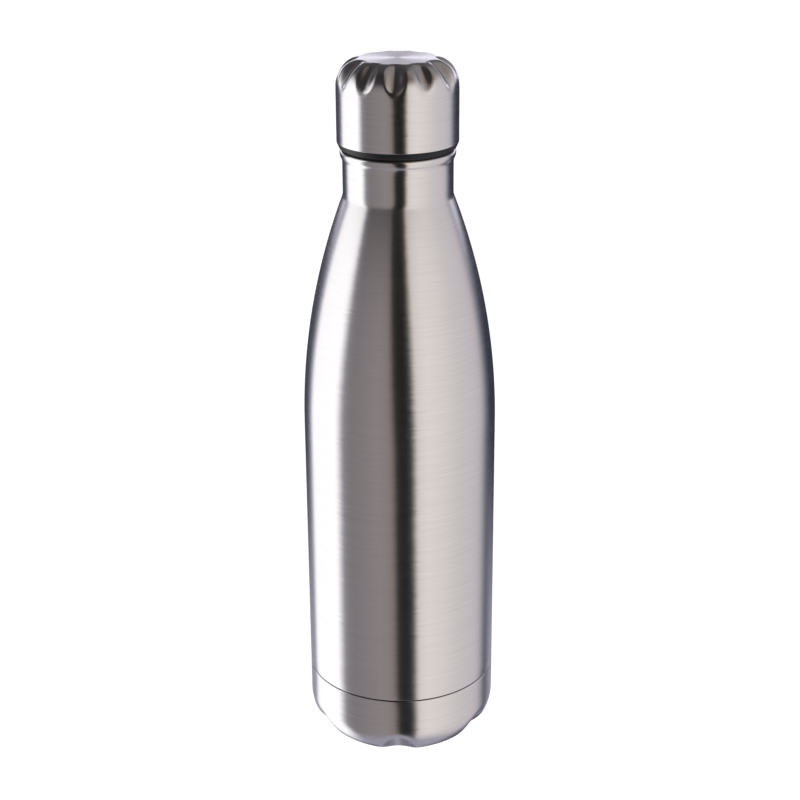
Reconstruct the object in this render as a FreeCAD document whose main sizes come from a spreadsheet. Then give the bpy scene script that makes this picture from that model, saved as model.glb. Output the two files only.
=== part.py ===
import FreeCAD, Part
import math
import os
import re

import Sketcher

# Double-wall vacuum bottle of about half a litre, with a screw cap.
# The origin is the centre of the foot, +Z is up along the axis, and all sizes are in millimetres.
# Each piece is one object of the document, bound to the sheet of dimensions below.

DIMENSIONS = {
    # outer shell
    "body_radius": (35.0, "outside of the straight barrel"),
    "wall": (0.4, "sheet thickness of every steel wall"),
    "seam_height": (27.3, "weld between shell and base cup"),
    "seam_bevel": (0.35, "bevel on each side of the seam"),
    "shoulder_start": (126.7, "where the barrel begins to curve in"),
    "shoulder_arc": (238.0, "radius of the long shoulder curve"),
    "neck_radius": (19.4, "outside of the neck"),
    "neck_round": (6.0, "blend between shoulder and neck"),
    "collar_start": (223.0, "where the neck begins to flare"),
    "collar_end": (226.4, "where the flare is full"),
    "collar_radius": (20.25, "outside of the collar"),
    "lip_height": (227.5, "top of the mouth"),
    "lip_round": (1.0, "round on the collar's top edge"),
    # base cup
    "base_round": (14.9, "round between barrel and foot"),
    "foot_inner": (16.5, "inside of the flat foot ring"),
    "recess_radius": (14.5, "flat recess under the base"),
    "recess_height": (3.0, "recess above the standing plane"),
    "spigot_height": (3.0, "part of the cup inside the shell"),
    "scallop_count": (6, "scallops round the foot"),
    "scallop_section": (9.8, "radius across a scallop"),
    "scallop_slope": (45.0, "degrees that a scallop floor rises"),
    "scallop_reach": (22.7, "where a scallop floor would meet the standing plane"),
    "pit_radius": (4.0, "mouth of the evacuation pit"),
    "pit_floor": (3.0, "flat of the evacuation pit"),
    "pit_depth": (1.2, "depth of the evacuation pit"),
    "joggle": (1.0, "height over which the cup steps in to its spigot"),
    "hole_radius": (1.0, "evacuation hole"),
    "disc_radius": (11.0, "cover disc under the base"),
    # inner flask
    "flask_radius": (31.2, "outside of the inner flask"),
    "flask_joint": (30.0, "weld between flask and its bottom"),
    "flask_arc": (232.0, "radius of the flask's shoulder"),
    "flask_floor": (9.0, "underside of the flask"),
    "flask_round": (14.0, "round at the foot of the flask"),
    "mouth_radius": (16.0, "inside of the mouth"),
    "mouth_round": (1.0, "round from mouth to lip"),
    "foil_thickness": (0.1, "reflecting foil"),
    "foil_start": (32.0, "lower edge of the foil"),
    "foil_end": (125.0, "upper edge of the foil"),
    "getter_offset": (14.0, "getter from the axis"),
    "getter_radius": (4.0, "getter pill"),
    "getter_height": (1.6, "getter pill"),
    "holder_depth": (2.5, "getter holder below the flask"),
    "holder_flange": (6.5, "outside of the getter holder"),
    "fit_gap": (0.05, "between pieces that are set into each other"),
    # thread
    "thread_pitch": (5.0, "rise of the cap in one turn"),
    "thread_root": (2.2, "width of a thread at its root"),
    "thread_crest": (1.0, "width of a thread at its crest"),
    "thread_bite": (0.2, "depth of a thread's root in its wall"),
    "mouth_crest": (14.75, "crest radius of the mouth's thread"),
    "mouth_thread_start": (214.2, "middle of the mouth's thread at its low end"),
    "mouth_thread_turns": (1.5, "turns on the mouth"),
    "plug_crest": (15.4, "crest radius of the plug's thread"),
    "plug_thread_start": (211.7, "middle of the plug's thread at its low end"),
    "plug_thread_turns": (2.0, "turns on the plug"),
    # cap
    "cap_radius": (21.25, "outside of the cap"),
    "cap_base": (230.06, "lower edge of the steel cap"),
    "cap_top": (258.7, "flat top of the cap, and of the bottle"),
    "cap_round": (8.5, "round of the cap's shoulder"),
    "hem_round": (0.3, "round on the cap's lower edge"),
    "top_radius": (13.05, "flat top of the cap"),
    "flute_count": (12, "flutes round the cap"),
    "flute_section": (3.4, "radius across a flute"),
    "flute_path": (26.2, "radius of a flute's floor, seen from the side"),
    "flute_centre_x": (-1.73, "centre of that radius, beyond the axis"),
    "flute_centre_drop": (21.57, "centre of that radius, below the cap's top"),
    # plug
    "plug_radius": (14.3, "core of the threaded plug"),
    "plug_wall": (2.0, "wall of the plug"),
    "plug_bottom": (207.5, "underside of the plug"),
    "plug_bevel": (1.2, "bevel round the plug's lower end"),
    "flange_under": (229.0, "face of the flange that presses the seal"),
    "flange_top": (232.0, "floor of the space above the flange"),
    "ring_low_radius": (20.4, "visible ring at its lower edge"),
    "ring_low": (228.3, "lower edge of the visible ring"),
    "ring_inner": (20.0, "inside of the visible ring"),
    "skirt_radius": (20.8, "outside of the skirt in the steel cap"),
    "skirt_wall": (1.5, "wall of the skirt"),
    "skirt_top": (247.0, "top of the skirt"),
    "cover_top": (246.5, "top of the disc that closes the plug"),
    "cover_bottom": (245.0, "underside of that disc"),
    # seal
    "seal_inner": (14.7, "inside of the seal ring"),
    "seal_outer": (19.1, "outside of the seal ring"),
}

# Angle round Z of the first flute and of the first scallop.
# Both patterns have one member that faces -Y.
FIRST_FLUTE = 0.0
FIRST_SCALLOP = 30.0

doc = FreeCAD.newDocument("insulated_bottle")
sheet = doc.addObject("Spreadsheet::Sheet", "dims")


def fill_sheet():
    for row, (alias, (value, note)) in enumerate(DIMENSIONS.items(), start=1):
        sheet.set(f"A{row}", alias)
        sheet.set(f"B{row}", str(value))
        sheet.set(f"C{row}", note)
        sheet.setAlias(f"B{row}", alias)
    doc.recompute()


def bound(text):
    """Turn 'wall + 1' into an expression that reads the sheet."""
    def link(match):
        word = match.group(0)
        return f"dims.{word}" if word in DIMENSIONS else word
    return re.sub(r"[a-z_]+", link, text)


def number(text):
    return float(sheet.evalExpression(bound(text)))


def plane(body, role):
    return next(item for item in body.Origin.OriginFeatures if item.Role == role)


def fix_point(sketch, geometry, end, r, z, label):
    """Tie one end of a line or arc to expressions for its radius and height."""
    for text, kind, axis, letter in ((r, "DistanceX", -2, "r"), (z, "DistanceY", -1, "z")):
        if text == "0":
            sketch.addConstraint(Sketcher.Constraint("PointOnObject", geometry, end, axis))
            continue
        sketch.addConstraint(Sketcher.Constraint(kind, -1, 1, geometry, end, number(text)))
        place = sketch.ConstraintCount - 1
        sketch.renameConstraint(place, f"{label}_{letter}")
        sketch.setExpression(f"Constraints.{label}_{letter}", bound(text))


def arc_edge(start, finish, radius, turn):
    """Circle arc from start to finish; turn is 1 for anticlockwise and -1 for clockwise."""
    chord = finish - start
    middle = (start + finish) / 2
    side = FreeCAD.Vector(-chord.y, chord.x, 0).normalize() * turn
    centre = middle + side * math.sqrt(radius ** 2 - (chord.Length / 2) ** 2)
    circle = Part.Circle(centre, FreeCAD.Vector(0, 0, 1), radius)
    first, last = (start, finish) if turn > 0 else (finish, start)
    angles = [math.atan2(point.y - centre.y, point.x - centre.x) for point in (first, last)]
    return Part.ArcOfCircle(circle, angles[0], angles[1])


def draw_outline(sketch, outline):
    """Closed outline of (r, z) points; a point with a radius and a turn is reached by an arc."""
    points = [FreeCAD.Vector(number(item[0]), number(item[1]), 0) for item in outline]
    steps = []
    for place, item in enumerate(outline):
        start = points[place - 1]
        if len(item) == 2:
            geometry = sketch.addGeometry(Part.LineSegment(start, points[place]), False)
            ends = (1, 2)
        else:
            radius, turn = item[2:]
            edge = arc_edge(start, points[place], number(radius), turn)
            geometry = sketch.addGeometry(edge, False)
            ends = (1, 2) if turn > 0 else (2, 1)
            sketch.addConstraint(Sketcher.Constraint("Radius", geometry, edge.Radius))
            sketch.renameConstraint(sketch.ConstraintCount - 1, f"arc{place}")
            sketch.setExpression(f"Constraints.arc{place}", bound(radius))
        steps.append((geometry, ends))
    for place, (geometry, ends) in enumerate(steps):
        following, next_ends = steps[(place + 1) % len(steps)]
        sketch.addConstraint(
            Sketcher.Constraint("Coincident", geometry, ends[1], following, next_ends[0]))
        fix_point(sketch, geometry, ends[1], outline[place][0], outline[place][1], f"p{place}")


def section_sketch(body, name, outline):
    sketch = body.newObject("Sketcher::SketchObject", name)
    sketch.AttachmentSupport = [(plane(body, "XZ_Plane"), "")]
    sketch.MapMode = "FlatFace"
    draw_outline(sketch, outline)
    return sketch


def turned_body(name, outline):
    """A body of revolution about Z, from its half section."""
    body = doc.addObject("PartDesign::Body", name)
    body.Label = name
    sketch = section_sketch(body, f"{name}_section", outline)
    revolution = body.newObject("PartDesign::Revolution", f"{name}_turned")
    revolution.Profile = sketch
    revolution.ReferenceAxis = (sketch, ["V_Axis"])
    revolution.Angle = 360
    body.Tip = revolution
    doc.recompute()
    return body


def round_circle(body, radius, height, size):
    """Fillet the circular edge of this radius and height."""
    def matches(edge):
        curve = edge.Curve
        return (isinstance(curve, Part.Circle) and abs(curve.Radius - number(radius)) < 0.01
                and abs(curve.Center.z - number(height)) < 0.01)
    base = body.Tip
    edges = [f"Edge{place}" for place, edge in enumerate(base.Shape.Edges, start=1) if matches(edge)]
    fillet = body.newObject("PartDesign::Fillet", f"{base.Name}_round")
    fillet.Base = (base, edges)
    fillet.setExpression("Radius", bound(size))
    body.Tip = fillet
    doc.recompute()


def cut_round_pattern(body, kind, name, sizes, position, tilt, count):
    """Cut a primitive out of a body and repeat the cut round Z."""
    cutter = body.newObject(kind, name)
    for size, text in sizes.items():
        cutter.setExpression(size, bound(text))
    cutter.Placement = FreeCAD.Placement(FreeCAD.Vector(), FreeCAD.Rotation(*tilt))
    for axis, text in zip("xyz", position):
        cutter.setExpression(f"Placement.Base.{axis}", bound(text))
    body.Tip = cutter
    doc.recompute()
    pattern = body.newObject("PartDesign::PolarPattern", f"{name}_ring")
    pattern.Originals = [cutter]
    pattern.Axis = (plane(body, "Z_Axis"), [""])
    pattern.Angle = 360
    pattern.setExpression("Occurrences", bound(count))
    body.Tip = pattern
    doc.recompute()


def add_thread(body, name, outline, turns):
    """Wind a thread's section up round Z, right-handed."""
    sketch = section_sketch(body, f"{name}_section", outline)
    helix = body.newObject("PartDesign::AdditiveHelix", name)
    helix.Profile = sketch
    helix.ReferenceAxis = (sketch, ["V_Axis"])
    helix.Mode = "pitch-turns-angle"
    helix.setExpression("Pitch", bound("thread_pitch"))
    helix.setExpression("Turns", bound(turns))
    helix.LeftHanded = False
    helix.Reversed = False
    body.Tip = helix
    doc.recompute()


def thread_outline(root, crest, middle):
    """Section of one thread: wide at its root and narrow at its crest."""
    return [
        (root, f"{middle} - thread_root / 2"),
        (crest, f"{middle} - thread_crest / 2"),
        (crest, f"{middle} + thread_crest / 2"),
        (root, f"{middle} + thread_root / 2"),
    ]


def arc_meets(barrel, arc, neck):
    """Height at which a shoulder arc, tangent to the barrel, reaches the neck's radius."""
    return f"shoulder_start + sqrt(({arc}) ^ 2 - ({arc} - {barrel} + {neck}) ^ 2)"


def make_outer_shell():
    flare = "((collar_end - collar_start) ^ 2 / (collar_radius - neck_radius)" \
            " + collar_radius - neck_radius) / 4"
    flare_middle = "(collar_start + collar_end) / 2"
    outside_meets = arc_meets("body_radius", "shoulder_arc", "neck_radius")
    inside_meets = arc_meets("(body_radius - wall)", "(shoulder_arc - wall)", "(neck_radius - wall)")
    body = turned_body("outer_shell", [
        ("body_radius - wall", "seam_height"),
        ("body_radius - seam_bevel", "seam_height"),
        ("body_radius", "seam_height + seam_bevel"),
        ("body_radius", "shoulder_start"),
        ("neck_radius", outside_meets, "shoulder_arc", 1),
        ("neck_radius", "collar_start"),
        ("(neck_radius + collar_radius) / 2", flare_middle, flare, -1),
        ("collar_radius", "collar_end", flare, 1),
        ("collar_radius", "lip_height - lip_round"),
        ("collar_radius - lip_round", "lip_height", "lip_round", 1),
        ("collar_radius - lip_round", "lip_height - wall"),
        ("collar_radius - wall", "collar_end"),
        ("(neck_radius + collar_radius) / 2 - wall", flare_middle, flare, -1),
        ("neck_radius - wall", "collar_start", flare, 1),
        ("neck_radius - wall", inside_meets),
        ("body_radius - wall", "shoulder_start", "shoulder_arc - wall", -1),
    ])
    round_circle(body, "neck_radius", outside_meets, "neck_round")
    round_circle(body, "neck_radius - wall", inside_meets, "neck_round + wall")
    return body


def cut_scallops(body, extra):
    """Six shallow scallops across the base round; extra deepens them for the inner face."""
    reach = "(scallop_section * sin(scallop_slope) + scallop_reach)"
    cut_round_pattern(
        body, "PartDesign::SubtractiveCylinder", f"{body.Name}_scallop",
        {"Radius": f"scallop_section + {extra}", "Height": "body_radius * 2"},
        (f"{reach} - foot_inner * cos(scallop_slope)", "0",
         "-scallop_section * cos(scallop_slope) - foot_inner * sin(scallop_slope)"),
        (FreeCAD.Vector(0, 1, 0), 90 - number("scallop_slope")),
        "scallop_count")


def cut_piece(name, outer, cavity):
    """A thin shell: its outer solid less its cavity."""
    cut = doc.addObject("Part::Cut", name)
    cut.Base = outer
    cut.Tool = cavity
    cut.Label = name
    doc.recompute()
    return cut


def turn_about_axis(body, degrees):
    body.Placement = FreeCAD.Placement(FreeCAD.Vector(), FreeCAD.Rotation(FreeCAD.Vector(0, 0, 1), degrees))
    doc.recompute()


def make_base_cup():
    pit_top = "recess_height + pit_depth"
    spigot_top = "seam_height + spigot_height"
    outer = turned_body("base_cup_outer", [
        ("hole_radius", pit_top),
        ("pit_floor", pit_top),
        ("pit_radius", "recess_height"),
        ("recess_radius", "recess_height"),
        ("foot_inner", "0"),
        ("body_radius - base_round", "0"),
        ("body_radius", "base_round", "base_round", 1),
        ("body_radius", "seam_height - seam_bevel"),
        ("body_radius - seam_bevel", "seam_height"),
        ("body_radius - wall", "seam_height"),
        ("body_radius - wall", spigot_top),
        ("hole_radius", spigot_top),
    ])
    cavity = turned_body("base_cup_cavity", [
        ("0", f"{pit_top} + wall"),
        ("pit_floor + wall / 2", f"{pit_top} + wall"),
        ("pit_radius + wall / 2", "recess_height + wall"),
        ("recess_radius + wall / 2", "recess_height + wall"),
        ("foot_inner + wall / 2", "wall"),
        ("body_radius - base_round", "wall"),
        ("body_radius - wall", "base_round", "base_round - wall", 1),
        ("body_radius - wall", "seam_height - 2 * joggle"),
        ("body_radius - 2 * wall", "seam_height - joggle"),
        ("body_radius - 2 * wall", spigot_top),
        ("0", spigot_top),
    ])
    cut_scallops(outer, "0")
    cut_scallops(cavity, "wall")
    turn_about_axis(outer, FIRST_SCALLOP)
    turn_about_axis(cavity, FIRST_SCALLOP)
    return cut_piece("base_cup", outer, cavity)


def make_base_disc():
    return turned_body("base_disc", [
        ("0", "recess_height - fit_gap - wall"),
        ("disc_radius", "recess_height - fit_gap - wall"),
        ("disc_radius", "recess_height - fit_gap"),
        ("0", "recess_height - fit_gap"),
    ])


def make_glass_seal():
    bead_bottom = "recess_height + pit_depth / 4"
    bead_top = "recess_height + pit_depth - fit_gap"
    return turned_body("glass_seal", [
        ("0", bead_bottom),
        ("pit_radius - (pit_radius - pit_floor) / 4 - fit_gap", bead_bottom),
        ("pit_floor", bead_top),
        ("hole_radius - fit_gap", bead_top),
        ("hole_radius - fit_gap", f"{bead_top} + 2 * wall"),
        ("0", f"{bead_top} + 2 * wall"),
    ])


def make_inner_flask():
    lip_start = "lip_height - wall - mouth_round"
    outside_meets = arc_meets("flask_radius", "flask_arc", "(mouth_radius + wall)")
    inside_meets = arc_meets("(flask_radius - wall)", "(flask_arc - wall)", "mouth_radius")
    body = turned_body("inner_flask", [
        ("flask_radius", "flask_joint"),
        ("flask_radius", "shoulder_start"),
        ("mouth_radius + wall", outside_meets, "flask_arc", 1),
        ("mouth_radius + wall", lip_start),
        ("mouth_radius + wall + mouth_round", "lip_height - wall", "mouth_round", -1),
        ("collar_radius - lip_round", "lip_height - wall"),
        ("collar_radius - lip_round", "lip_height"),
        ("mouth_radius + wall + mouth_round", "lip_height"),
        ("mouth_radius", lip_start, "mouth_round + wall", 1),
        ("mouth_radius", inside_meets),
        ("flask_radius - wall", "shoulder_start", "flask_arc - wall", -1),
        ("flask_radius - wall", "flask_joint"),
    ])
    round_circle(body, "mouth_radius + wall", outside_meets, "neck_round")
    round_circle(body, "mouth_radius", inside_meets, "neck_round + wall")
    add_thread(
        body, "mouth_thread",
        thread_outline("mouth_radius + thread_bite", "mouth_crest", "mouth_thread_start"),
        "mouth_thread_turns")
    return body


def make_flask_bottom():
    return turned_body("flask_bottom", [
        ("0", "flask_floor"),
        ("flask_radius - flask_round", "flask_floor"),
        ("flask_radius", "flask_floor + flask_round", "flask_round", 1),
        ("flask_radius", "flask_joint"),
        ("flask_radius - wall", "flask_joint"),
        ("flask_radius - wall", "flask_floor + flask_round"),
        ("flask_radius - flask_round", "flask_floor + wall", "flask_round - wall", -1),
        ("0", "flask_floor + wall"),
    ])


def make_foil_wrap():
    return turned_body("foil_wrap", [
        ("flask_radius + fit_gap", "foil_start"),
        ("flask_radius + fit_gap + foil_thickness", "foil_start"),
        ("flask_radius + fit_gap + foil_thickness", "foil_end"),
        ("flask_radius + fit_gap", "foil_end"),
    ])


def set_beside_axis(body):
    body.setExpression("Placement.Base.x", bound("getter_offset"))
    doc.recompute()


def make_getter_holder():
    cup_bottom = "flask_floor - holder_depth"
    body = turned_body("getter_holder", [
        ("0", cup_bottom),
        ("getter_radius + fit_gap + wall", cup_bottom),
        ("getter_radius + fit_gap + wall", "flask_floor - wall"),
        ("holder_flange", "flask_floor - wall"),
        ("holder_flange", "flask_floor"),
        ("getter_radius + fit_gap", "flask_floor"),
        ("getter_radius + fit_gap", f"{cup_bottom} + wall"),
        ("0", f"{cup_bottom} + wall"),
    ])
    set_beside_axis(body)
    return body


def make_getter_pill():
    pill_bottom = "flask_floor - holder_depth + wall + fit_gap"
    body = turned_body("getter_pill", [
        ("0", pill_bottom),
        ("getter_radius", pill_bottom),
        ("getter_radius", f"{pill_bottom} + getter_height"),
        ("0", f"{pill_bottom} + getter_height"),
    ])
    set_beside_axis(body)
    return body


def cut_flutes(body, extra):
    """Twelve flutes down the cap's shoulder; extra deepens them for the inner face."""
    cut_round_pattern(
        body, "PartDesign::SubtractiveTorus", f"{body.Name}_flute",
        {"Radius1": "flute_path + flute_section", "Radius2": f"flute_section + {extra}"},
        ("flute_centre_x", "0", "cap_top - flute_centre_drop"),
        (FreeCAD.Vector(1, 0, 0), 90),
        "flute_count")


def make_cap_shell():
    rise = "sqrt(cap_round ^ 2 - (top_radius - cap_radius + cap_round) ^ 2)"
    inner_top = f"cap_radius - cap_round + sqrt((cap_round - wall) ^ 2 - ({rise} - wall) ^ 2)"
    outer = turned_body("cap_shell_outer", [
        ("0", "cap_base"),
        ("cap_radius", "cap_base"),
        ("cap_radius", f"cap_top - {rise}"),
        ("top_radius", "cap_top", "cap_round", 1),
        ("0", "cap_top"),
    ])
    cavity = turned_body("cap_shell_cavity", [
        ("0", "cap_base"),
        ("cap_radius - wall", "cap_base"),
        ("cap_radius - wall", f"cap_top - {rise}"),
        (inner_top, "cap_top - wall", "cap_round - wall", 1),
        ("0", "cap_top - wall"),
    ])
    round_circle(outer, "cap_radius", "cap_base", "hem_round")
    cut_flutes(outer, "0")
    cut_flutes(cavity, "wall")
    turn_about_axis(outer, FIRST_FLUTE)
    turn_about_axis(cavity, FIRST_FLUTE)
    return cut_piece("cap_shell", outer, cavity)


def make_threaded_plug():
    body = turned_body("threaded_plug", [
        ("0", "plug_bottom"),
        ("plug_radius - plug_bevel", "plug_bottom"),
        ("plug_radius", "plug_bottom + plug_bevel"),
        ("plug_radius", "flange_under"),
        ("ring_inner", "flange_under"),
        ("ring_inner", "ring_low"),
        ("ring_low_radius", "ring_low"),
        ("cap_radius - fit_gap", "cap_base"),
        ("skirt_radius", "cap_base"),
        ("skirt_radius", "skirt_top"),
        ("skirt_radius - skirt_wall", "skirt_top"),
        ("skirt_radius - skirt_wall", "flange_top"),
        ("plug_radius - plug_wall", "flange_top"),
        ("plug_radius - plug_wall", "plug_bottom + plug_wall"),
        ("0", "plug_bottom + plug_wall"),
    ])
    add_thread(
        body, "plug_thread",
        thread_outline("plug_radius - thread_bite", "plug_crest", "plug_thread_start"),
        "plug_thread_turns")
    return body


def make_plug_insulation():
    narrow = "plug_radius - plug_wall - fit_gap"
    wide = "skirt_radius - skirt_wall - fit_gap"
    return turned_body("plug_insulation", [
        ("0", "plug_bottom + plug_wall + fit_gap"),
        (narrow, "plug_bottom + plug_wall + fit_gap"),
        (narrow, "flange_top + fit_gap"),
        (wide, "flange_top + fit_gap"),
        (wide, "cover_bottom - fit_gap"),
        ("0", "cover_bottom - fit_gap"),
    ])


def make_plug_cover():
    return turned_body("plug_cover", [
        ("0", "cover_bottom"),
        ("skirt_radius - skirt_wall - fit_gap", "cover_bottom"),
        ("skirt_radius - skirt_wall - fit_gap", "cover_top"),
        ("0", "cover_top"),
    ])


def make_seal_ring():
    return turned_body("seal_ring", [
        ("seal_inner", "lip_height + fit_gap"),
        ("seal_outer", "lip_height + fit_gap"),
        ("seal_outer", "flange_under - fit_gap"),
        ("seal_inner", "flange_under - fit_gap"),
    ])


def check_document(pieces):
    for item in doc.Objects:
        if "Invalid" in item.State or "Error" in item.State:
            raise RuntimeError(f"{item.Name} failed to recompute: {item.State}")
    for piece in pieces:
        if piece.Shape.isNull() or not piece.Shape.isValid():
            raise RuntimeError(f"{piece.Label} has no valid shape")


def report(piece):
    shape = piece.Shape
    low = shape.BoundBox.ZMin
    high = shape.BoundBox.ZMax
    print(f"{piece.Label:16} solids {len(shape.Solids)}  volume {shape.Volume:9.1f}  z {low:7.2f} to {high:7.2f}")


fill_sheet()
PIECES = [
    make_outer_shell(),
    make_base_cup(),
    make_base_disc(),
    make_glass_seal(),
    make_inner_flask(),
    make_flask_bottom(),
    make_foil_wrap(),
    make_getter_holder(),
    make_getter_pill(),
    make_cap_shell(),
    make_threaded_plug(),
    make_plug_insulation(),
    make_plug_cover(),
    make_seal_ring(),
]
doc.recompute()
check_document(PIECES)
os.makedirs("parts", exist_ok=True)
for piece in PIECES:
    report(piece)
    piece.Shape.exportStep(f"parts/{piece.Label}.step")
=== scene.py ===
"""Insulated steel water bottle with a fluted screw cap: surfaces, studio and camera."""

import math

import bpy
import numpy as np
from mathutils import Euler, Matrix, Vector


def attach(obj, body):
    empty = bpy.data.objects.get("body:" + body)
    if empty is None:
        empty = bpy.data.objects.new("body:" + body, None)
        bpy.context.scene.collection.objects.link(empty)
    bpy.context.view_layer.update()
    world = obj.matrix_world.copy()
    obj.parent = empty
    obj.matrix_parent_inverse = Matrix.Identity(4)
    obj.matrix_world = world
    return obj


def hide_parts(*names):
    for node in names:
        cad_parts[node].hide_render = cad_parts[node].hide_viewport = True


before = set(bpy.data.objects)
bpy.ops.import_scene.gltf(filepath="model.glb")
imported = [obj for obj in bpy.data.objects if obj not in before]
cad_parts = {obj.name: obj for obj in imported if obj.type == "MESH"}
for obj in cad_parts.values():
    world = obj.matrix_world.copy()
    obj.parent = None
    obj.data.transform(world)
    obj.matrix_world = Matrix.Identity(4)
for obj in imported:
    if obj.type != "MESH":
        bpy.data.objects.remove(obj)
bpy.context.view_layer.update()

MM = 0.001

# Sizes of the steel skins, in millimetres, the same as the CAD model's.
WALL = 0.4
BODY_RADIUS = 35.0
SEAM_HEIGHT = 27.3
SEAM_GAP = 0.34
SEAM_ROUND = 0.25
SEAM_DEPTH = 0.7
SHOULDER_START = 126.7
SHOULDER_ARC = 238.0
NECK_RADIUS = 19.4
NECK_ROUND = 6.0
COLLAR_START = 223.0
COLLAR_END = 226.4
COLLAR_RADIUS = 20.25
LIP_HEIGHT = 227.5
LIP_ROUND = 1.0
BASE_ROUND = 14.9
FOOT_INNER = 16.5
RECESS_RADIUS = 14.5
RECESS_HEIGHT = 3.0
PIT_RADIUS = 4.0
PIT_FLOOR = 3.0
PIT_DEPTH = 1.2
SCALLOPS = 6
SCALLOP_SECTION = 9.8
SCALLOP_SLOPE = math.radians(45.0)
SCALLOP_REACH = 22.7
CAP_RADIUS = 21.25
CAP_BASE = 230.06
CAP_TOP = 258.7
CAP_ROUND = 8.5
HEM_ROUND = 0.3
TOP_RADIUS = 13.05
TOP_ROUND_OVERLAP = 0.3
CAP_FLUTED_WALL = 3.0
FLUTES = 12
FLUTE_SECTION = 3.4
FLUTE_PATH = 26.2
FLUTE_CENTRE = (-1.73, CAP_TOP - 21.57)

# How often the edges of the scallops and of the flutes are softened, one mesh cell at a time.
SCALLOP_PASSES = 40
FLUTE_PASSES = 120


# ---------------------------------------------------------------- outlines

def arc(centre, radius, start, end, steps):
    """Points (r, z, inward r, inward z) on an arc; angles in degrees from +r towards +z."""
    points = []
    for angle in np.radians(np.linspace(start, end, steps + 1)):
        out = (math.cos(angle), math.sin(angle))
        sign = 1.0 if radius > 0 else -1.0
        points.append((centre[0] + abs(radius) * out[0], centre[1] + abs(radius) * out[1],
                       -out[0] * sign, -out[1] * sign))
    return points


def line(start, end, steps, inward):
    """Points on a straight stretch, its end left out."""
    return [(start[0] + (end[0] - start[0]) * i / steps, start[1] + (end[1] - start[1]) * i / steps,
             *inward) for i in range(steps)]


def shell_outline():
    """Outside of the body from the seam up to the lip."""
    blend_r = NECK_RADIUS + NECK_ROUND
    arc_r = BODY_RADIUS - SHOULDER_ARC
    reach = SHOULDER_ARC + NECK_ROUND
    blend_z = SHOULDER_START + math.sqrt(reach ** 2 - (blend_r - arc_r) ** 2)
    turn = math.degrees(math.atan2(blend_z - SHOULDER_START, blend_r - arc_r))
    step = COLLAR_RADIUS - NECK_RADIUS
    flare = ((COLLAR_END - COLLAR_START) ** 2 / step + step) / 4
    flare_turn = math.degrees(math.asin((COLLAR_END - COLLAR_START) / 2 / flare))
    out = (-1.0, 0.0)
    low = SEAM_HEIGHT + SEAM_GAP / 2
    points = line((BODY_RADIUS - SEAM_DEPTH, low), (BODY_RADIUS - SEAM_ROUND, low), 2, (0.0, 1.0))
    points += arc((BODY_RADIUS - SEAM_ROUND, low + SEAM_ROUND), SEAM_ROUND, -90, 0, 6)[:-1]
    points += line((BODY_RADIUS, low + SEAM_ROUND), (BODY_RADIUS, SHOULDER_START), 24, out)
    points += arc((arc_r, SHOULDER_START), SHOULDER_ARC, 0, turn, 80)[:-1]
    points += arc((blend_r, blend_z), -NECK_ROUND, 180 + turn, 180, 10)[:-1]
    points += line((NECK_RADIUS, blend_z), (NECK_RADIUS, COLLAR_START), 8, out)
    points += arc((NECK_RADIUS + flare, COLLAR_START), -flare, 180, 180 - flare_turn, 10)[:-1]
    points += arc((COLLAR_RADIUS - flare, COLLAR_END), flare, -flare_turn, 0, 10)
    points += arc((COLLAR_RADIUS - LIP_ROUND, LIP_HEIGHT - LIP_ROUND), LIP_ROUND, 0, 90, 8)
    return points


def base_outline():
    """Outside of the base cup from the pit under it up to the seam."""
    up = (0.0, 1.0)
    points = [(0.0, RECESS_HEIGHT + PIT_DEPTH, *up)]
    points += line((1.0, RECESS_HEIGHT + PIT_DEPTH), (PIT_FLOOR, RECESS_HEIGHT + PIT_DEPTH), 3, up)
    points += line((PIT_FLOOR, RECESS_HEIGHT + PIT_DEPTH), (PIT_RADIUS, RECESS_HEIGHT), 3, up)
    points += line((PIT_RADIUS, RECESS_HEIGHT), (RECESS_RADIUS, RECESS_HEIGHT), 8, up)
    points += line((RECESS_RADIUS, RECESS_HEIGHT), (FOOT_INNER, 0.0), 6, up)
    points += line((FOOT_INNER, 0.0), (BODY_RADIUS - BASE_ROUND, 0.0), 4, up)
    points += arc((BODY_RADIUS - BASE_ROUND, BASE_ROUND), BASE_ROUND, -90, 0, 120)[:-1]
    high = SEAM_HEIGHT - SEAM_GAP / 2
    points += line((BODY_RADIUS, BASE_ROUND), (BODY_RADIUS, high - SEAM_ROUND), 10, (-1.0, 0.0))
    points += arc((BODY_RADIUS - SEAM_ROUND, high - SEAM_ROUND), SEAM_ROUND, 0, 90, 6)
    points += [(BODY_RADIUS - SEAM_DEPTH, high, 0.0, -1.0)]
    return points


def cap_outline():
    """Outside of the cap from its hem up to the middle of its top."""
    rise = math.sqrt(CAP_ROUND ** 2 - TOP_ROUND_OVERLAP ** 2)
    centre = (TOP_RADIUS - TOP_ROUND_OVERLAP, CAP_TOP - rise)
    crown = math.degrees(math.acos(TOP_ROUND_OVERLAP / CAP_ROUND))
    out = (-1.0, 0.0)
    plain_top = centre[1] - CAP_FLUTED_WALL
    points = arc((CAP_RADIUS - HEM_ROUND, CAP_BASE + HEM_ROUND), HEM_ROUND, -90, 0, 6)[:-1]
    points += line((CAP_RADIUS, CAP_BASE + HEM_ROUND), (CAP_RADIUS, plain_top), 30, out)
    points += line((CAP_RADIUS, plain_top), (CAP_RADIUS, centre[1]), 20, out)
    points += arc(centre, CAP_ROUND, 0, crown, 130)
    points += line((TOP_RADIUS - 0.12, CAP_TOP), (0.0, CAP_TOP), 14, (0.0, -1.0))
    points += [(0.0, CAP_TOP, 0.0, -1.0)]
    return points


# ---------------------------------------------------------------- turned skins

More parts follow.
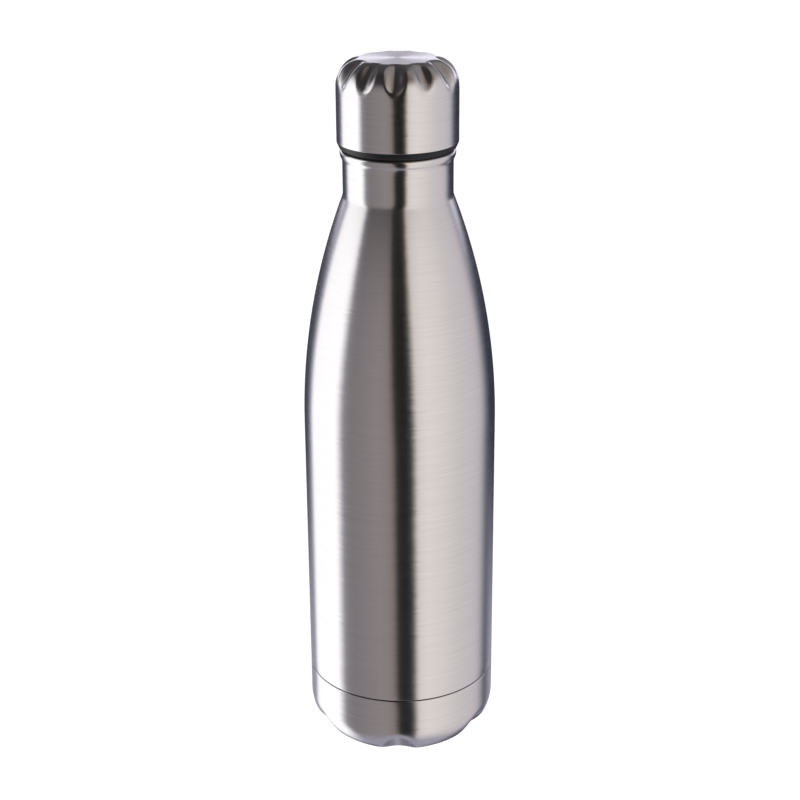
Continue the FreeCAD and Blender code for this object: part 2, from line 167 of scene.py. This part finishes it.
def scallop_space(r, side, z):
    """How far a point is outside a scallop's cutter; negative inside. side is across the cutter."""
    floor_r = SCALLOP_REACH + SCALLOP_SECTION * math.sin(SCALLOP_SLOPE)
    floor_z = -SCALLOP_SECTION * math.cos(SCALLOP_SLOPE)
    height = (z - floor_z) * math.cos(SCALLOP_SLOPE) - (r - floor_r) * math.sin(SCALLOP_SLOPE)
    return np.hypot(height, side) - SCALLOP_SECTION


def flute_space(r, side, z):
    """How far a point is outside a flute's ring-shaped cutter; negative inside."""
    reach = np.hypot(r - FLUTE_CENTRE[0], z - FLUTE_CENTRE[1])
    return np.hypot(reach - FLUTE_PATH - FLUTE_SECTION, side) - FLUTE_SECTION


def carve_depth(points, angles, count, space, passes):
    """How far each point of a turned skin moves inwards to lie on the cutters' surface."""
    pitch = 2 * math.pi / count
    turn = (angles + pitch / 2) % pitch - pitch / 2
    r, z, in_r, in_z = (points[:, i:i + 1] for i in range(4))

    def clear(depth):
        radius = r + in_r * depth
        return space(radius * np.cos(turn), radius * np.sin(turn), z + in_z * depth)

    low = np.zeros((len(points), len(angles)))
    high = np.full_like(low, 5.0)
    cut = clear(low) < 0
    for _ in range(40):
        middle = (low + high) / 2
        inside = clear(middle) < 0
        low = np.where(inside, middle, low)
        high = np.where(inside, high, middle)
    depth = np.where(cut, high, 0.0)
    for _ in range(passes):
        depth = (np.roll(depth, 1, 1) + 2 * depth + np.roll(depth, -1, 1)) / 4
        depth[1:-1] = (depth[:-2] + 2 * depth[1:-1] + depth[2:]) / 4
    return np.where(in_r == 0.0, 0.0, depth)


def turned_skin(name, outline, segments, count=0, space=None, passes=0):
    """A closed skin of revolution with wall thickness, from its outside's outline."""
    points = np.array(outline)
    angles = np.arange(segments) * 2 * math.pi / segments
    depth = np.zeros((len(points), segments))
    if space:
        depth = carve_depth(points, angles, count, space, passes)
    layers = []
    for extra in (0.0, WALL):
        radius = np.maximum(points[:, 0:1] + points[:, 2:3] * (depth + extra), 0.0)
        height = points[:, 1:2] + points[:, 3:4] * (depth + extra)
        layers.append(np.stack([radius * np.sin(angles), -radius * np.cos(angles),
                                height + 0 * angles], axis=-1))
    rows = np.concatenate([layers[0], layers[1][::-1]])
    poles = points[:, 0] < 1e-6
    poles = np.concatenate([poles, poles[::-1]])
    index, verts = [], []
    for row, pole in zip(rows, poles):
        if pole:
            index.append([len(verts)] * segments)
            verts.append(row[0])
        else:
            index.append(list(range(len(verts), len(verts) + segments)))
            verts.extend(row)
    faces = []
    for k in range(len(rows)):
        below, above = index[k], index[(k + 1) % len(rows)]
        if poles[k] and poles[(k + 1) % len(rows)]:
            continue
        for i in range(segments):
            j = (i + 1) % segments
            corner = [below[i], below[j], above[j], above[i]]
            faces.append(list(dict.fromkeys(corner)))
    mesh = bpy.data.meshes.new(name)
    mesh.from_pydata((np.array(verts) * MM).tolist(), [], faces)
    mesh.polygons.foreach_set("use_smooth", [True] * len(mesh.polygons))
    mesh.validate()
    mesh.set_sharp_from_angle(angle=math.radians(50))
    piece = bpy.data.objects.new(name, mesh)
    bpy.context.scene.collection.objects.link(piece)
    return piece


# ---------------------------------------------------------------- materials

def add_node(tree, kind, links=None, **settings):
    """A node with its settings and inputs; an input is a socket to link or a plain value."""
    new = tree.nodes.new(kind)
    for key, value in settings.items():
        setattr(new, key, value)
    for key, value in (links or {}).items():
        if isinstance(value, bpy.types.NodeSocket):
            tree.links.new(value, new.inputs[key])
        else:
            new.inputs[key].default_value = value
    return new


def math_node(tree, operation, first, second=0.0, third=0.0):
    return add_node(tree, "ShaderNodeMath", {0: first, 1: second, 2: third}, operation=operation).outputs[0]


def noise(tree, vector, scale, detail=2.0, roughness=0.5):
    new = add_node(tree, "ShaderNodeTexNoise",
                   {"Vector": vector, "Scale": scale, "Detail": detail, "Roughness": roughness})
    return new.outputs[0]


def remap(tree, value, low, high, from_low=0.3, from_high=0.7):
    new = add_node(tree, "ShaderNodeMapRange",
                   {"Value": value, "From Min": from_low, "From Max": from_high,
                    "To Min": low, "To Max": high})
    return new.outputs[0]


def blend_colours(tree, factor, first, second):
    new = add_node(tree, "ShaderNodeMix", data_type="RGBA")
    tree.links.new(factor, new.inputs[0])
    for socket, colour in ((new.inputs[6], first), (new.inputs[7], second)):
        if isinstance(colour, bpy.types.NodeSocket):
            tree.links.new(colour, socket)
        else:
            socket.default_value = (*colour, 1.0)
    return new.outputs[2]


def new_material(name):
    material = bpy.data.materials.new(name)
    material.use_nodes = True
    tree = material.node_tree
    tree.nodes.clear()
    shader = add_node(tree, "ShaderNodeBsdfPrincipled")
    output = add_node(tree, "ShaderNodeOutputMaterial")
    tree.links.new(shader.outputs[0], output.inputs[0])
    return material, tree, shader


def brush_coordinates(tree, slant):
    """Object position and the height along the outline, which runs across the brush lines.

    slant is -1 where the radius shrinks as the outline rises, and +1 where it grows."""
    place = add_node(tree, "ShaderNodeTexCoord").outputs["Object"]
    parts = add_node(tree, "ShaderNodeSeparateXYZ", {0: place})
    flat = add_node(tree, "ShaderNodeCombineXYZ", {0: parts.outputs[0], 1: parts.outputs[1]})
    radius = add_node(tree, "ShaderNodeVectorMath", {0: flat.outputs[0]}, operation="LENGTH")
    along = math_node(tree, "MULTIPLY_ADD", radius.outputs["Value"], slant, parts.outputs[2])
    return place, parts, along


def brush_vector(tree, parts, along, length, width):
    """Noise coordinates stretched round the axis: streaks of that length and width in metres."""
    x = math_node(tree, "MULTIPLY", parts.outputs[0], 1 / length)
    y = math_node(tree, "MULTIPLY", parts.outputs[1], 1 / length)
    z = math_node(tree, "MULTIPLY", along, 1 / width)
    return add_node(tree, "ShaderNodeCombineXYZ", {0: x, 1: y, 2: z}).outputs[0]


def brushed_steel(name, slant, colour=(0.64, 0.625, 0.62), gloss=0.205, spread=0.015, depth=0.10):
    """Stainless steel brushed round the axis.

    Fine lines turn the normal up and down and a little sideways; the long streaks also vary
    the sheen and the tone, and faint smudges lie over them."""
    material, tree, shader = new_material(name)
    place, parts, along = brush_coordinates(tree, slant)
    fine = noise(tree, brush_vector(tree, parts, along, 0.018, 0.00016), 1.0, 2.0, 0.6)
    sideways = noise(tree, brush_vector(tree, parts, along, 0.015, 0.00026), 1.0, 2.0, 0.65)
    bands = noise(tree, brush_vector(tree, parts, along, 0.050, 0.0014), 1.0, 3.0, 0.6)
    smudge = noise(tree, place, 38.0, 3.0, 0.55)

    tone = blend_colours(tree, remap(tree, bands, 0.0, 1.0),
                         tuple(c * 0.99 for c in colour), tuple(c * 1.007 for c in colour))
    line_tone = blend_colours(tree, remap(tree, fine, 0.0, 1.0), (0.905, 0.905, 0.91),
                              (1.0, 1.0, 1.0))
    base = add_node(tree, "ShaderNodeMix", data_type="RGBA", blend_type="MULTIPLY")
    base.inputs[0].default_value = 1.0
    tree.links.new(tone, base.inputs[6])
    tree.links.new(line_tone, base.inputs[7])
    tree.links.new(base.outputs[2], shader.inputs["Base Color"])

    rough = math_node(tree, "ADD", remap(tree, fine, gloss - 0.02, gloss + 0.03),
                      remap(tree, bands, -0.004, 0.005))
    rough = math_node(tree, "ADD", rough, remap(tree, smudge, -0.008, 0.012))
    tree.links.new(rough, shader.inputs["Roughness"])

    bump = add_node(tree, "ShaderNodeBump", {"Strength": depth, "Distance": 0.00006, "Height": fine})
    tangent = add_node(tree, "ShaderNodeTangent", direction_type="RADIAL", axis="Z").outputs[0]
    lean = remap(tree, sideways, -spread, spread, 0.25, 0.75)
    shift = add_node(tree, "ShaderNodeVectorMath", {0: tangent}, operation="SCALE")
    tree.links.new(lean, shift.inputs["Scale"])
    turned = add_node(tree, "ShaderNodeVectorMath", {0: bump.outputs[0], 1: shift.outputs[0]},
                      operation="ADD")
    normal = add_node(tree, "ShaderNodeVectorMath", {0: turned.outputs[0]}, operation="NORMALIZE")
    tree.links.new(normal.outputs[0], shader.inputs["Normal"])
    tree.links.new(tangent, shader.inputs["Tangent"])
    shader.inputs["Metallic"].default_value = 1.0
    shader.inputs["Anisotropic"].default_value = 0.85
    shader.inputs["Anisotropic Rotation"].default_value = 0.25
    return material


def plain_metal(name, dark, light, gloss, grain=900.0, metallic=1.0):
    """Bare sheet metal: cloudy tone, a fine grain and uneven sheen."""
    material, tree, shader = new_material(name)
    place = add_node(tree, "ShaderNodeTexCoord").outputs["Object"]
    cloud = noise(tree, place, 55.0, 4.0, 0.6)
    fine = noise(tree, place, grain, 3.0, 0.6)
    tone = blend_colours(tree, remap(tree, cloud, 0.0, 1.0), dark, light)
    tree.links.new(tone, shader.inputs["Base Color"])
    rough = math_node(tree, "ADD", remap(tree, cloud, gloss - 0.04, gloss + 0.05),
                      remap(tree, fine, -0.03, 0.03))
    tree.links.new(rough, shader.inputs["Roughness"])
    bump = add_node(tree, "ShaderNodeBump", {"Strength": 0.12, "Distance": 0.00008, "Height": fine})
    tree.links.new(bump.outputs[0], shader.inputs["Normal"])
    shader.inputs["Metallic"].default_value = metallic
    return material


def moulded(name, dark, light, gloss, grain=5200.0, depth=0.25, sheen=0.5):
    """Moulded plastic, rubber or foam: fine eroded texture, slight tone changes, rubbed sheen."""
    material, tree, shader = new_material(name)
    place = add_node(tree, "ShaderNodeTexCoord").outputs["Object"]
    cloud = noise(tree, place, 90.0, 3.0, 0.55)
    fine = noise(tree, place, grain, 2.0, 0.6)
    tone = blend_colours(tree, remap(tree, cloud, 0.0, 1.0), dark, light)
    tree.links.new(tone, shader.inputs["Base Color"])
    rough = math_node(tree, "ADD", remap(tree, cloud, gloss - 0.05, gloss + 0.06),
                      remap(tree, fine, -0.04, 0.04))
    tree.links.new(rough, shader.inputs["Roughness"])
    bump = add_node(tree, "ShaderNodeBump", {"Strength": depth, "Distance": 0.00005, "Height": fine})
    tree.links.new(bump.outputs[0], shader.inputs["Normal"])
    shader.inputs["Specular IOR Level"].default_value = sheen
    return material


def paint_node(name, material):
    """Gives a CAD node one material."""
    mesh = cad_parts[name].data
    mesh.materials.clear()
    mesh.materials.append(material)


# ---------------------------------------------------------------- the bottle

SHELL_STEEL = brushed_steel("body_brushed_steel", -1.0)
BASE_STEEL = brushed_steel("base_brushed_steel", 1.0)
CAP_STEEL = brushed_steel("cap_brushed_steel", -1.0, gloss=0.20)
FLASK_STEEL = plain_metal("flask_polished_steel", (0.56, 0.55, 0.54), (0.66, 0.65, 0.64), 0.22)
PLAIN_STEEL = plain_metal("disc_plain_steel", (0.52, 0.51, 0.50), (0.62, 0.61, 0.60), 0.33)
FOIL = plain_metal("copper_foil", (0.72, 0.36, 0.22), (0.86, 0.50, 0.33), 0.28, 400.0)
GETTER = plain_metal("getter_alloy", (0.20, 0.20, 0.21), (0.30, 0.30, 0.31), 0.55, 2600.0, 0.6)
GLASS = moulded("solder_glass", (0.07, 0.09, 0.10), (0.12, 0.15, 0.16), 0.18, 1500.0, 0.05)
BLACK = moulded("black_plastic", (0.004, 0.004, 0.005), (0.009, 0.009, 0.010), 0.36, sheen=0.22)
FOAM = moulded("white_foam", (0.62, 0.61, 0.57), (0.78, 0.77, 0.73), 0.85, 1400.0, 0.6)
# The seal ring is near-black silicone. Its near-black is also painted shade, in the gap between the cap's
# black ring and the neck's lip.
SILICONE_AND_SHADE = moulded("dark_silicone_painted_shade", (0.016, 0.016, 0.017), (0.030, 0.030, 0.031), 0.5, 3000.0, 0.10)

for node_name, node_material in {
    "inner_flask": FLASK_STEEL, "flask_bottom": FLASK_STEEL, "base_disc": PLAIN_STEEL,
    "getter_holder": PLAIN_STEEL, "foil_wrap": FOIL, "getter_pill": GETTER, "glass_seal": GLASS,
    "threaded_plug": BLACK, "plug_cover": BLACK, "plug_insulation": FOAM, "seal_ring": SILICONE_AND_SHADE,
}.items():
    paint_node(node_name, node_material)


def place_skin(piece, material, body, node):
    piece.data.materials.append(material)
    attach(piece, body)
    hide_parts(node)


place_skin(turned_skin("body_skin", shell_outline(), 480),
           SHELL_STEEL, "bottle", "outer_shell")
place_skin(turned_skin("base_skin", base_outline(), 720, SCALLOPS, scallop_space, SCALLOP_PASSES),
           BASE_STEEL, "bottle", "base_cup")
place_skin(turned_skin("cap_skin", cap_outline(), 1080, FLUTES, flute_space, FLUTE_PASSES),
           CAP_STEEL, "cap", "cap_shell")


# ---------------------------------------------------------------- studio

# What stands round the bottle, by the angle from the camera's side, anticlockwise from above:
# (angle in degrees, colour, height in degrees above the horizon that it reaches,
#  lean: degrees that its edge moves anticlockwise for each degree above -18).
SURROUNDINGS = [
    (-180, (0.50, 0.50, 0.52), 0, 0.0), (-176, (0.30, 0.30, 0.32), 0, 0.0),
    (-170, (0.07, 0.07, 0.085), 0, 0.3), (-150, (0.06, 0.062, 0.085), 0, 0.5),
    (-140, (0.15, 0.155, 0.20), 5, 0.5), (-133, (0.58, 0.60, 0.68), 14, 0.5),
    (-126, (1.60, 1.60, 1.65), 16, 0.5), (-82, (1.75, 1.75, 1.75), 16, 0.36),
    (-75, (0.80, 0.80, 0.84), 14, 0.33), (-71, (0.33, 0.315, 0.34), 12, 0.32),
    (-60, (0.30, 0.28, 0.30), 10, 0.2), (-45, (0.35, 0.32, 0.33), 10, 0.1),
    (-25, (0.40, 0.36, 0.365), 10, 0.0), (-12, (0.38, 0.325, 0.32), 10, -0.12),
    (-8.5, (0.24, 0.21, 0.205), 8, -0.14), (-5.5, (0.030, 0.027, 0.027), 6, -0.14),
    (6, (0.010, 0.010, 0.010), 6, -0.14), (14, (0.022, 0.020, 0.020), 10, -0.14),
    (17, (0.50, 0.47, 0.44), 20, -0.13), (20, (1.08, 1.01, 0.96), 22, -0.12),
    (34, (1.16, 1.10, 1.07), 24, -0.05), (52, (1.08, 1.02, 1.0), 26, 0.0),
    (75, (0.92, 0.88, 0.89), 26, 0.0), (102, (0.84, 0.80, 0.85), 24, 0.0),
    (113, (0.76, 0.72, 0.78), 20, 0.0), (121, (0.44, 0.425, 0.48), 10, 0.0),
    (129, (0.13, 0.13, 0.16), 0, 0.0), (139, (0.03, 0.035, 0.06), 0, 0.0),
    (164, (0.03, 0.033, 0.055), 0, 0.0), (172, (0.14, 0.14, 0.16), 0, 0.0),
    (177, (0.40, 0.40, 0.42), 0, 0.0), (180, (0.50, 0.50, 0.52), 0, 0.0),
]
# What hangs above them, by the same angle: (angle, colour).
CEILING = [
    (-180, (0.09, 0.085, 0.09)), (-120, (0.06, 0.056, 0.06)), (-60, (0.035, 0.033, 0.035)),
    (8, (0.035, 0.033, 0.035)), (22, (0.14, 0.10, 0.075)), (42, (0.25, 0.18, 0.135)),
    (62, (0.33, 0.27, 0.23)), (90, (0.35, 0.32, 0.32)), (140, (0.29, 0.28, 0.29)),
    (168, (0.11, 0.105, 0.11)), (180, (0.09, 0.085, 0.09)),
]
CAMERA_SIDE = 2.5
PEAK = 1.75
BACKDROP = (1.22, 1.19, 1.36)
GROUND = (0.48, 0.47, 0.58)


def ramp(tree, factor, stops):
    """Colours by angle; the factor runs from 0 to 1 for -180 to 180 degrees."""
    new = add_node(tree, "ShaderNodeValToRGB", {0: factor})
    elements = new.color_ramp.elements
    while len(elements) > 1:
        elements.remove(elements[-1])
    for i, (angle, colour) in enumerate(stops):
        position = (angle + 180) / 360
        element = elements[0] if i == 0 else elements.new(position)
        element.position = position
        element.color = (*colour, 1.0)
    return new.outputs[0]


def smooth_step(tree, value, low, high):
    new = add_node(tree, "ShaderNodeMapRange", {"Value": value, "From Min": low, "From Max": high},
                   interpolation_type="SMOOTHSTEP")
    return new.outputs[0]


def make_surroundings():
    """Tall soft panels all round, a dark ceiling between them, and a white view behind the floor."""
    world = bpy.data.worlds.new("studio")
    bpy.context.scene.world = world
    world.use_nodes = True
    tree = world.node_tree
    tree.nodes.clear()
    direction = add_node(tree, "ShaderNodeTexCoord").outputs["Generated"]
    parts = add_node(tree, "ShaderNodeSeparateXYZ", {0: direction})
    up = math_node(tree, "ARCSINE", parts.outputs[2])
    up = math_node(tree, "MULTIPLY", up, 180 / math.pi)
    front = math_node(tree, "MULTIPLY", parts.outputs[1], -1.0)
    side = math_node(tree, "ARCTAN2", parts.outputs[0], front)
    side = math_node(tree, "MULTIPLY", side, 0.5 / math.pi)
    turn = math_node(tree, "FRACT", math_node(tree, "ADD", side, 0.5 - CAMERA_SIDE / 360))
    leans = [(angle, (0.5 + lean / 2,) * 3) for angle, _, _, lean in SURROUNDINGS]
    lean = math_node(tree, "MULTIPLY_ADD", ramp(tree, turn, leans), 2.0, -1.0)
    raised = math_node(tree, "MINIMUM", math_node(tree, "ADD", up, 18.0), 32.0)
    moved = math_node(tree, "MULTIPLY", math_node(tree, "MULTIPLY", lean, raised), 1 / 360)
    turn = math_node(tree, "SUBTRACT", turn, moved)

    stops = [(angle, tuple(c / PEAK for c in colour)) for angle, colour, _, _ in SURROUNDINGS]
    panels = add_node(tree, "ShaderNodeVectorMath", {0: ramp(tree, turn, stops), "Scale": PEAK},
                      operation="SCALE").outputs[0]
    heights = ramp(tree, turn, [(angle, (height / 90,) * 3) for angle, _, height, _ in SURROUNDINGS])
    above = math_node(tree, "SUBTRACT", up, math_node(tree, "MULTIPLY", heights, 90.0))
    over = smooth_step(tree, above, -6.0, 26.0)
    colour = blend_colours(tree, over, panels, ramp(tree, turn, CEILING))

    behind = smooth_step(tree, parts.outputs[1], 0.45, 0.75)
    low_edge = smooth_step(tree, up, -4.0, 2.0)
    high_edge = smooth_step(tree, up, 17.0, 11.0)
    backdrop = math_node(tree, "MULTIPLY", math_node(tree, "MULTIPLY", behind, low_edge), high_edge)
    colour = blend_colours(tree, backdrop, colour, BACKDROP)
    ground = smooth_step(tree, up, -54.0, -68.0)
    far_ground = math_node(tree, "MULTIPLY", smooth_step(tree, up, -23.0, -30.0),
                           smooth_step(tree, parts.outputs[1], 0.55, 0.80))
    ground = math_node(tree, "MAXIMUM", ground, far_ground)
    colour = blend_colours(tree, ground, colour, GROUND)

    seen = add_node(tree, "ShaderNodeLightPath").outputs["Is Camera Ray"]
    colour = blend_colours(tree, seen, colour, (1.0, 1.0, 1.0))
    background = add_node(tree, "ShaderNodeBackground", {"Color": colour, "Strength": 1.0})
    output = add_node(tree, "ShaderNodeOutputWorld")
    tree.links.new(background.outputs[0], output.inputs[0])


def make_floor():
    """A plain white sweep that shows neither in the steel nor in its light."""
    mesh = bpy.data.meshes.new("floor")
    half = 6.0
    corners = [(-half, -half, 0), (half, -half, 0), (half, half, 0), (-half, half, 0)]
    mesh.from_pydata(corners, [], [(0, 1, 2, 3)])
    floor = bpy.data.objects.new("floor", mesh)
    bpy.context.scene.collection.objects.link(floor)
    material, tree, shader = new_material("floor_white")
    place = add_node(tree, "ShaderNodeTexCoord").outputs["Object"]
    cloud = noise(tree, place, 6.0, 2.0, 0.5)
    tone = blend_colours(tree, cloud, (0.50, 0.50, 0.50), (0.54, 0.54, 0.54))
    tree.links.new(tone, shader.inputs["Base Color"])
    shader.inputs["Roughness"].default_value = 0.7
    shader.inputs["Specular IOR Level"].default_value = 0.2
    shader.inputs["Emission Color"].default_value = (1.0, 1.0, 1.0, 1.0)
    shader.inputs["Emission Strength"].default_value = 0.95
    mesh.materials.append(material)
    floor.visible_glossy = False
    floor.visible_shadow = False


def make_camera():
    """Level with the cap's flutes and looking down at the body, as a still-life camera stands."""
    data = bpy.data.cameras.new("camera")
    data.sensor_width = 36.0
    data.lens = 76.275
    camera = bpy.data.objects.new("camera", data)
    bpy.context.scene.collection.objects.link(camera)
    turn = math.radians(CAMERA_SIDE)
    back = Vector((math.sin(turn), -math.cos(turn), 0.0))
    right = Vector((math.cos(turn), math.sin(turn), 0.0))
    camera.location = back * 0.578 + right * 0.00013 + Vector((0.0, 0.0, 0.362))
    aim = Euler((math.radians(90 - 21.56), 0.0, turn)).to_matrix()
    roll = Euler((0.0, 0.0, math.radians(-0.396))).to_matrix()
    camera.rotation_euler = (aim @ roll).to_euler()
    bpy.context.scene.camera = camera


make_surroundings()
make_floor()
make_camera()
bpy.context.scene.view_settings.view_transform = "Standard"
